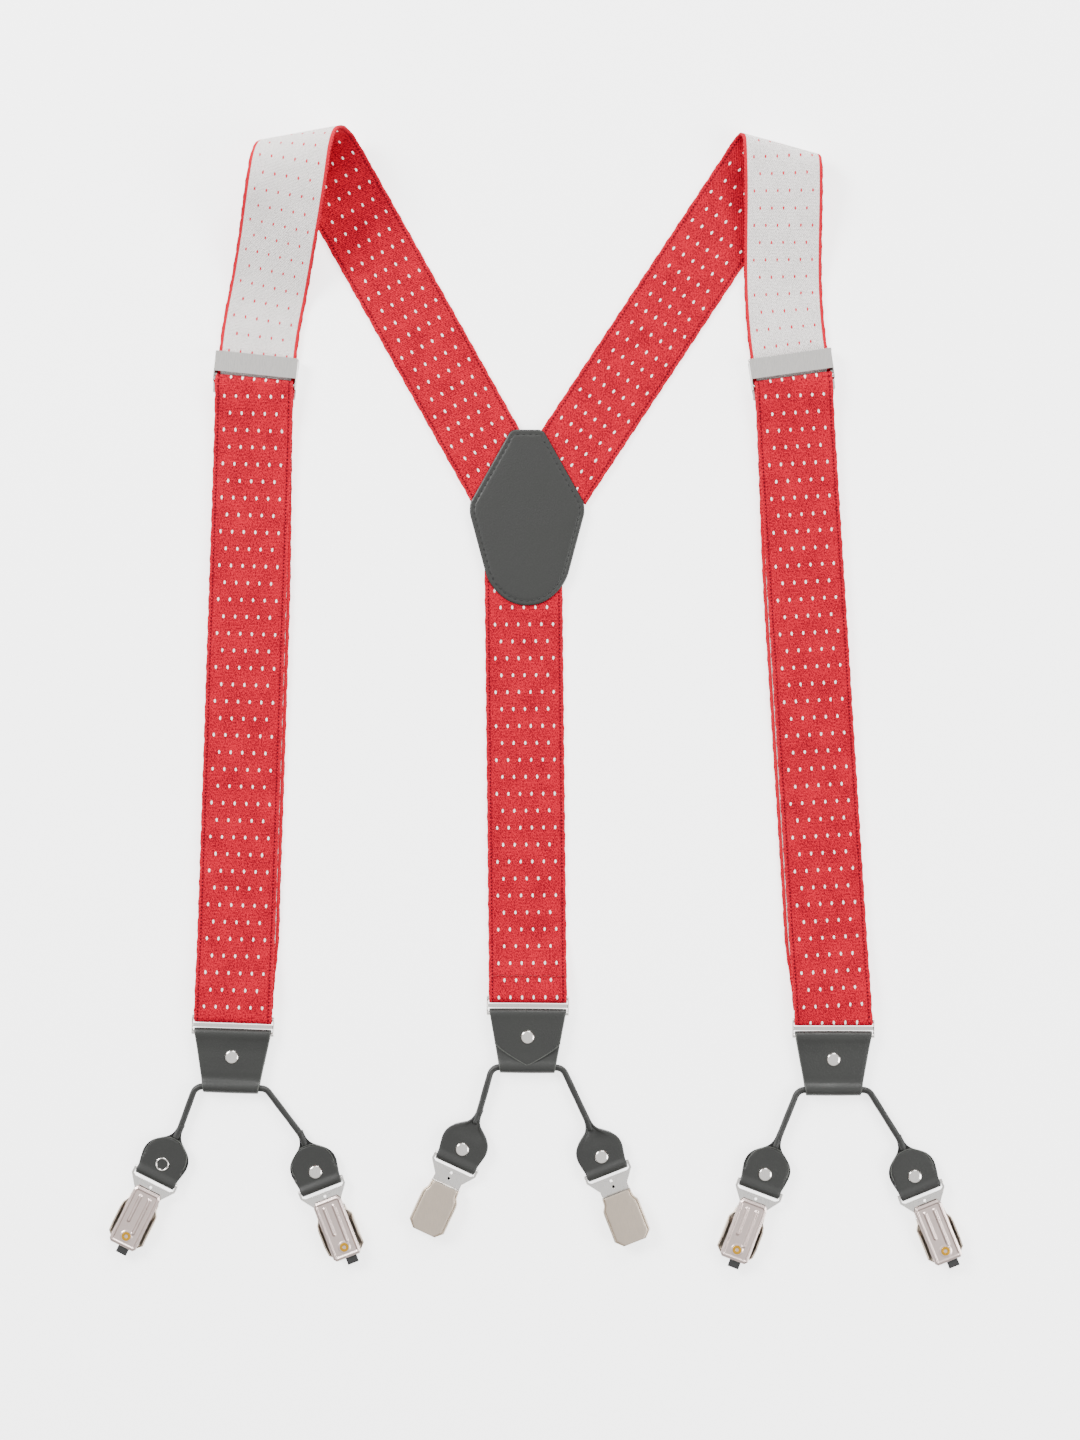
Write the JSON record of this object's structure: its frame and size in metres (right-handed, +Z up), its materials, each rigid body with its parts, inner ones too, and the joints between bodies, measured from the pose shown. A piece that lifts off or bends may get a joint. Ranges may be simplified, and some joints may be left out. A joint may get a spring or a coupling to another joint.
{
  "type": "suspenders",
  "caption": "Y-back elastic suspenders with leather back patch, sliding adjusters, leather tabs and rolled cords that end in hinged metal clips.",
  "frame": {"origin": "centre of the underside of the back patch, which lies on the surface", "axes": "+Y along the straps from the clips to the shoulders, +Z up from the surface, +X to the right when seen from above with the clips towards the viewer"},
  "size_m": [0.3834, 0.5096, 0.0315],
  "materials": {
    "webbing": "woven elastic, red with white pin dots, white reverse",
    "leather": "smooth black leather with a soft sheen",
    "nickel": "satin nickel plate",
    "chrome": "bright nickel plate",
    "brass": "polished brass",
    "pad": "black moulded plastic"
  },
  "bodies": {
    "harness": {"patch_front": "leather", "patch_back": "leather", "rear_strap": "webbing", "left_strap": "webbing", "left_front_band": "webbing", "right_strap": "webbing", "right_front_band": "webbing"},
    "left_loop": {"left_loop": "webbing"},
    "left_adjuster": {"left_adjuster_frame": "nickel"},
    "left_flap": {"left_adjuster_flap": "chrome"},
    "right_loop": {"right_loop": "webbing"},
    "right_adjuster": {"right_adjuster_frame": "nickel"},
    "right_flap": {"right_adjuster_flap": "chrome"},
    "left_ring": {"left_ring": "chrome"},
    "left_tab": {"left_tab": "leather", "left_tab_rivet": "chrome"},
    "left_cord": {"left_cord": "leather", "left_tongue_rivets": "chrome"},
    "left_bail_1": {"left_bail_1": "chrome"},
    "left_cover_1": {"left_cover_1": "nickel"},
    "left_jaw_1": {"left_back_jaw_1": "nickel", "left_grip_pad_1": "pad", "left_eyelet_1": "brass"},
    "left_bail_2": {"left_bail_2": "chrome"},
    "left_cover_2": {"left_cover_2": "nickel"},
    "left_jaw_2": {"left_back_jaw_2": "nickel", "left_grip_pad_2": "pad", "left_eyelet_2": "brass"},
    "right_ring": {"right_ring": "chrome"},
    "right_tab": {"right_tab": "leather", "right_tab_rivet": "chrome"},
    "right_cord": {"right_cord": "leather", "right_tongue_rivets": "chrome"},
    "right_bail_1": {"right_bail_1": "chrome"},
    "right_cover_1": {"right_cover_1": "nickel"},
    "right_jaw_1": {"right_back_jaw_1": "nickel", "right_grip_pad_1": "pad", "right_eyelet_1": "brass"},
    "right_bail_2": {"right_bail_2": "chrome"},
    "right_cover_2": {"right_cover_2": "nickel"},
    "right_jaw_2": {"right_back_jaw_2": "nickel", "right_grip_pad_2": "pad", "right_eyelet_2": "brass"},
    "rear_ring": {"rear_ring": "chrome"},
    "rear_tab": {"rear_tab": "leather", "rear_tab_rivet": "chrome"},
    "rear_cord": {"rear_cord": "leather", "rear_tongue_rivets": "chrome"},
    "rear_bail_1": {"rear_bail_1": "chrome"},
    "rear_cover_1": {"rear_cover_1": "nickel"},
    "rear_jaw_1": {"rear_back_jaw_1": "nickel", "rear_grip_pad_1": "pad", "rear_eyelet_1": "brass"},
    "rear_bail_2": {"rear_bail_2": "chrome"},
    "rear_cover_2": {"rear_cover_2": "nickel"},
    "rear_jaw_2": {"rear_back_jaw_2": "nickel", "rear_grip_pad_2": "pad", "rear_eyelet_2": "brass"}
  },
  "joints": [
    {"name": "left_length", "type": "slide", "parent": "harness", "child": "left_loop", "axis": [0.0355, 0.9994, 0], "range_m": [-0.06, 0.018], "deforming": ["left_loop", "left_front_band"]},
    {"name": "left_adjuster_slide", "type": "slide", "parent": "left_loop", "child": "left_adjuster", "axis": [0.2025, 0.9793, 0], "range_m": [-0.06, 0.018]},
    {"name": "left_flap_hinge", "type": "hinge", "parent": "left_adjuster", "child": "left_flap", "pos_m": [-0.12081, 0.07198, 0.0044], "axis": [-0.9947, 0.1028, 0], "range_deg": [0, 100]},
    {"name": "right_length", "type": "slide", "parent": "harness", "child": "right_loop", "axis": [-0.0648, 0.9979, 0], "range_m": [-0.06, 0.018], "deforming": ["right_loop", "right_front_band"]},
    {"name": "right_adjuster_slide", "type": "slide", "parent": "right_loop", "child": "right_adjuster", "axis": [-0.0389, 0.9992, 0], "range_m": [-0.06, 0.018]},
    {"name": "right_flap_hinge", "type": "hinge", "parent": "right_adjuster", "child": "right_flap", "pos_m": [0.11757, 0.07246, 0.0044], "axis": [-0.99, -0.1409, 0], "range_deg": [0, 100]},
    {"name": "left_ring_hinge", "type": "hinge", "parent": "left_loop", "child": "left_ring", "pos_m": [-0.1316, -0.2242, 0.0029], "axis": [-0.9994, 0.0349, 0], "range_deg": [-90, 90]},
    {"name": "left_tab_hinge", "type": "hinge", "parent": "left_ring", "child": "left_tab", "pos_m": [-0.13184, -0.23104, 0.0029], "axis": [0.9994, -0.0349, 0], "range_deg": [-90, 90]},
    {"name": "left_cord_hinge", "type": "hinge", "parent": "left_tab", "child": "left_cord", "pos_m": [-0.13268, -0.25526, 0.0029], "axis": [-0.9994, 0.0349, 0], "range_deg": [-90, 90]},
    {"name": "left_bail_hinge_1", "type": "hinge", "parent": "left_cord", "child": "left_bail_1", "pos_m": [-0.1661, -0.2952, 0.0029], "axis": [0.8949, -0.4462, 0], "range_deg": [-90, 90]},
    {"name": "left_cover_hinge_1", "type": "hinge", "parent": "left_bail_1", "child": "left_cover_1", "pos_m": [-0.17141, -0.30585, 0.0023], "axis": [0.8949, -0.4462, 0], "range_deg": [0, 90]},
    {"name": "left_jaw_hinge_1", "type": "hinge", "parent": "left_bail_1", "child": "left_jaw_1", "pos_m": [-0.17458, -0.3122, 0.00345], "axis": [-0.8949, 0.4462, 0], "range_deg": [0, 3.6]},
    {"name": "left_bail_hinge_2", "type": "hinge", "parent": "left_cord", "child": "left_bail_2", "pos_m": [-0.0924, -0.299, 0.0029], "axis": [0.9317, 0.3633, 0], "range_deg": [-90, 90]},
    {"name": "left_cover_hinge_2", "type": "hinge", "parent": "left_bail_2", "child": "left_cover_2", "pos_m": [-0.08808, -0.31009, 0.0023], "axis": [0.9317, 0.3633, 0], "range_deg": [0, 90]},
    {"name": "left_jaw_hinge_2", "type": "hinge", "parent": "left_bail_2", "child": "left_jaw_2", "pos_m": [-0.0855, -0.3167, 0.00345], "axis": [-0.9317, -0.3633, 0], "range_deg": [0, 3.6]},
    {"name": "right_ring_hinge", "type": "hinge", "parent": "right_loop", "child": "right_ring", "pos_m": [0.1372, -0.2253, 0.0029], "axis": [-1, 0, 0], "range_deg": [-90, 90]},
    {"name": "right_tab_hinge", "type": "hinge", "parent": "right_ring", "child": "right_tab", "pos_m": [0.1372, -0.23214, 0.0029], "axis": [1, 0, 0], "range_deg": [-90, 90]},
    {"name": "right_cord_hinge", "type": "hinge", "parent": "right_tab", "child": "right_cord", "pos_m": [0.1372, -0.25638, 0.0029], "axis": [-1, 0, 0], "range_deg": [-90, 90]},
    {"name": "right_bail_hinge_1", "type": "hinge", "parent": "right_cord", "child": "right_bail_1", "pos_m": [0.1043, -0.3001, 0.0029], "axis": [0.9348, -0.3551, 0], "range_deg": [-90, 90]},
    {"name": "right_cover_hinge_1", "type": "hinge", "parent": "right_bail_1", "child": "right_cover_1", "pos_m": [0.10007, -0.31122, 0.0023], "axis": [0.9348, -0.3551, 0], "range_deg": [0, 90]},
    {"name": "right_jaw_hinge_1", "type": "hinge", "parent": "right_bail_1", "child": "right_jaw_1", "pos_m": [0.09755, -0.31786, 0.00345], "axis": [-0.9348, 0.3551, 0], "range_deg": [0, 3.6]},
    {"name": "right_bail_hinge_2", "type": "hinge", "parent": "right_cord", "child": "right_bail_2", "pos_m": [0.176, -0.3009, 0.0029], "axis": [0.9259, 0.3778, 0], "range_deg": [-90, 90]},
    {"name": "right_cover_hinge_2", "type": "hinge", "parent": "right_bail_2", "child": "right_cover_2", "pos_m": [0.1805, -0.31192, 0.0023], "axis": [0.9259, 0.3778, 0], "range_deg": [0, 90]},
    {"name": "right_jaw_hinge_2", "type": "hinge", "parent": "right_bail_2", "child": "right_jaw_2", "pos_m": [0.18318, -0.31849, 0.00345], "axis": [-0.9259, -0.3778, 0], "range_deg": [0, 3.6]},
    {"name": "rear_ring_hinge", "type": "hinge", "parent": "harness", "child": "rear_ring", "pos_m": [0.0004, -0.2152, 0.0029], "axis": [-1, 0.0087, 0], "range_deg": [-90, 90]},
    {"name": "rear_tab_hinge", "type": "hinge", "parent": "rear_ring", "child": "rear_tab", "pos_m": [0.00034, -0.22204, 0.0029], "axis": [1, -0.0087, 0], "range_deg": [-90, 90]},
    {"name": "rear_cord_hinge", "type": "hinge", "parent": "rear_tab", "child": "rear_cord", "pos_m": [0.00013, -0.24628, 0.0029], "axis": [-1, 0.0087, 0], "range_deg": [-90, 90]},
    {"name": "rear_bail_hinge_1", "type": "hinge", "parent": "rear_cord", "child": "rear_bail_1", "pos_m": [-0.0317, -0.2887, 0.0029], "axis": [0.9063, -0.4226, 0], "range_deg": [-90, 90]},
    {"name": "rear_cover_hinge_1", "type": "hinge", "parent": "rear_bail_1", "child": "rear_cover_1", "pos_m": [-0.03673, -0.29949, 0.0035], "axis": [-0.9063, 0.4226, 0], "range_deg": [0, 90]},
    {"name": "rear_jaw_hinge_1", "type": "hinge", "parent": "rear_bail_1", "child": "rear_jaw_1", "pos_m": [-0.03973, -0.30592, 0.00235], "axis": [0.9063, -0.4226, 0], "range_deg": [0, 3.6]},
    {"name": "rear_bail_hinge_2", "type": "hinge", "parent": "rear_cord", "child": "rear_bail_2", "pos_m": [0.0357, -0.2922, 0.0029], "axis": [0.9304, 0.3665, 0], "range_deg": [-90, 90]},
    {"name": "rear_cover_hinge_2", "type": "hinge", "parent": "rear_bail_2", "child": "rear_cover_2", "pos_m": [0.04006, -0.30327, 0.0035], "axis": [-0.9304, -0.3665, 0], "range_deg": [0, 90]},
    {"name": "rear_jaw_hinge_2", "type": "hinge", "parent": "rear_bail_2", "child": "rear_jaw_2", "pos_m": [0.04266, -0.30988, 0.00235], "axis": [0.9304, 0.3665, 0], "range_deg": [0, 3.6]}
  ],
  "couplings": [
    {"joint": "left_adjuster_slide", "follows": "left_length", "ratio": 1},
    {"joint": "right_adjuster_slide", "follows": "right_length", "ratio": 1},
    {"joint": "left_jaw_hinge_1", "follows": "left_cover_hinge_1", "ratio": 0.038889},
    {"joint": "left_jaw_hinge_2", "follows": "left_cover_hinge_2", "ratio": 0.038889},
    {"joint": "right_jaw_hinge_1", "follows": "right_cover_hinge_1", "ratio": 0.038889},
    {"joint": "right_jaw_hinge_2", "follows": "right_cover_hinge_2", "ratio": 0.038889},
    {"joint": "rear_jaw_hinge_1", "follows": "rear_cover_hinge_1", "ratio": 0.038889},
    {"joint": "rear_jaw_hinge_2", "follows": "rear_cover_hinge_2", "ratio": 0.038889}
  ]
}
